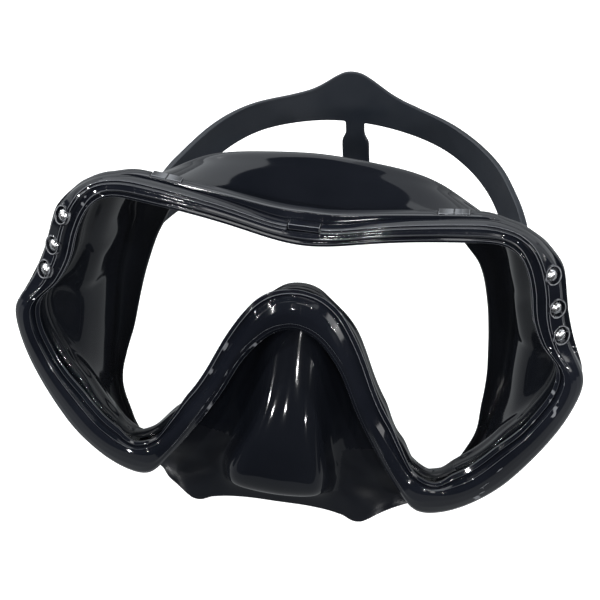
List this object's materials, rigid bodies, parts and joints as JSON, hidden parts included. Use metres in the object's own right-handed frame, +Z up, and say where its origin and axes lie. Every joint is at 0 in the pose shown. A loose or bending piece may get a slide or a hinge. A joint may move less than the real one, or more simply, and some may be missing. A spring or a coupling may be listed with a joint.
{
  "type": "diving mask",
  "caption": "Single-lens diving mask with a glossy framed glass lens, a silicone face skirt with nose pocket, and a split head strap on swivel buckles with release levers.",
  "frame": {"origin": "on the floor under the middle of the bounding box", "axes": "+X to the viewer's right across the mask, +Y from the lens towards the back of the strap, +Z up; the mask leans back on the two points of its lip flange and the bottom of its strap"},
  "size_m": [0.184, 0.1792, 0.1124],
  "materials": {
    "gloss_black": "polished black",
    "black_silicone": "glossy black silicone",
    "strap_silicone": "satin charcoal silicone",
    "clear_glass": "clear tempered glass",
    "buckle_plastic": "fine satin",
    "steel": "stainless, turned",
    "polished_steel": "polished bright"
  },
  "bodies": {
    "mask": {"front_frame": "gloss_black", "rear_frame": "gloss_black", "lens": "clear_glass", "skirt": "black_silicone", "centre_clip": "gloss_black", "clip_left": "gloss_black", "clip_right": "gloss_black", "stud_left_1": "polished_steel", "stud_left_2": "polished_steel", "stud_left_3": "polished_steel", "stud_right_1": "polished_steel", "stud_right_2": "polished_steel", "stud_right_3": "polished_steel", "pivot_pin_left": "steel", "pivot_pin_right": "steel", "pivot_washer_left": "steel", "pivot_washer_right": "steel"},
    "strap_assembly": {"strap": "strap_silicone", "buckle_left": "buckle_plastic", "buckle_right": "buckle_plastic", "lever_pin_left": "steel", "lever_pin_right": "steel", "lever_spring_left": "steel", "lever_spring_right": "steel"},
    "lever_left": {"release_lever_left": "buckle_plastic"},
    "lever_right": {"release_lever_right": "buckle_plastic"},
    "roller_left": {"strap_roller_left": "steel"},
    "roller_right": {"strap_roller_right": "steel"}
  },
  "joints": [
    {"name": "strap_swing", "type": "hinge", "parent": "mask", "child": "strap_assembly", "pos_m": [0, -0.04453, 0.05665], "axis": [1, 0, 0], "range_deg": [-25, 75]},
    {"name": "lever_right_open", "type": "hinge", "parent": "strap_assembly", "child": "lever_right", "pos_m": [0.0849, -0.03463, 0.05285], "axis": [0, -0.3578, -0.9338], "range_deg": [0, 25], "stiffness_Nm_per_rad": 0.02, "springref_deg": -20.05},
    {"name": "lever_left_open", "type": "hinge", "parent": "strap_assembly", "child": "lever_left", "pos_m": [-0.0849, -0.03463, 0.05285], "axis": [0, 0.3578, 0.9338], "range_deg": [0, 25], "stiffness_Nm_per_rad": 0.02, "springref_deg": -20.05},
    {"name": "roller_right_turn", "type": "hinge", "parent": "strap_assembly", "child": "roller_right", "pos_m": [0.0806, -0.02959, 0.05092], "axis": [0, 0.3578, 0.9338], "continuous": true},
    {"name": "roller_left_turn", "type": "hinge", "parent": "strap_assembly", "child": "roller_left", "pos_m": [-0.0806, -0.02959, 0.05092], "axis": [0, 0.3578, 0.9338], "continuous": true}
  ]
}
